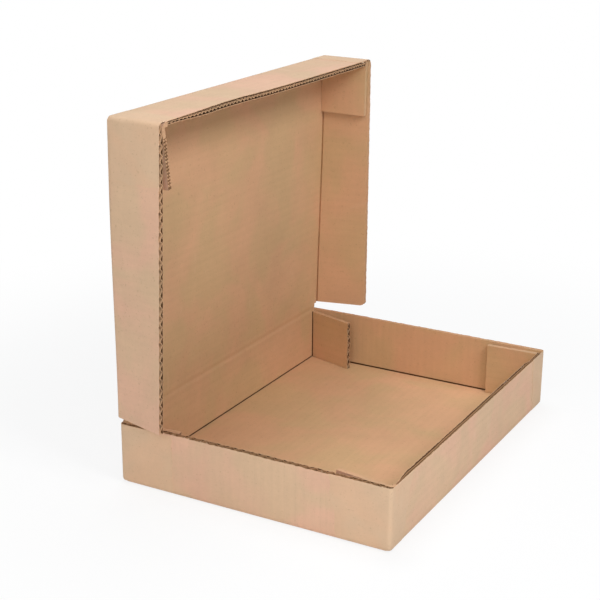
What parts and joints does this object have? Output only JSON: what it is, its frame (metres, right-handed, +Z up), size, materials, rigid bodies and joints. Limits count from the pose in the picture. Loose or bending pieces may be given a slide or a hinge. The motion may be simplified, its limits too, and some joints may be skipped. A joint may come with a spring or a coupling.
{
  "type": "picture frame box",
  "caption": "Shallow one-piece corrugated board box with a hinged lid that closes over its tray, folded corners held by paper tape.",
  "frame": {"origin": "middle of the tray's underside, on the surface that the box stands on", "axes": "+X from the hinge towards the tray's front wall, +Y along the hinge, +Z up"},
  "size_m": [0.2572, 0.3807, 0.3226],
  "materials": {
    "kraft_board": "matt brown kraft liner over C flute",
    "paper_tape": "smooth matt kraft paper tape"
  },
  "bodies": {
    "tray": {"tray_board": "kraft_board", "tray_tape_near_rear": "paper_tape", "tray_tape_far_rear": "paper_tape", "tray_tape_near_front": "paper_tape", "tray_tape_far_front": "paper_tape"},
    "lid": {"lid_board": "kraft_board", "lid_tape_near": "paper_tape", "lid_tape_far": "paper_tape"},
    "near_tab": {"lid_near_tab": "kraft_board"}
  },
  "joints": [
    {"name": "lid_hinge", "type": "hinge", "parent": "tray", "child": "lid", "pos_m": [-0.1264, 0, 0.0594], "axis": [0, 1, 0], "range_deg": [-100, 89.3]},
    {"name": "near_tab_fold", "type": "hinge", "parent": "lid", "child": "near_tab", "pos_m": [-0.12087, -0.1755, 0.31585], "axis": [0.9996, -0.0264, -0.0122], "range_deg": [-9.02, 10.1]}
  ],
  "couplings": [
    {"joint": "near_tab_fold", "follows": "lid_hinge", "ratio": -0.10078}
  ]
}
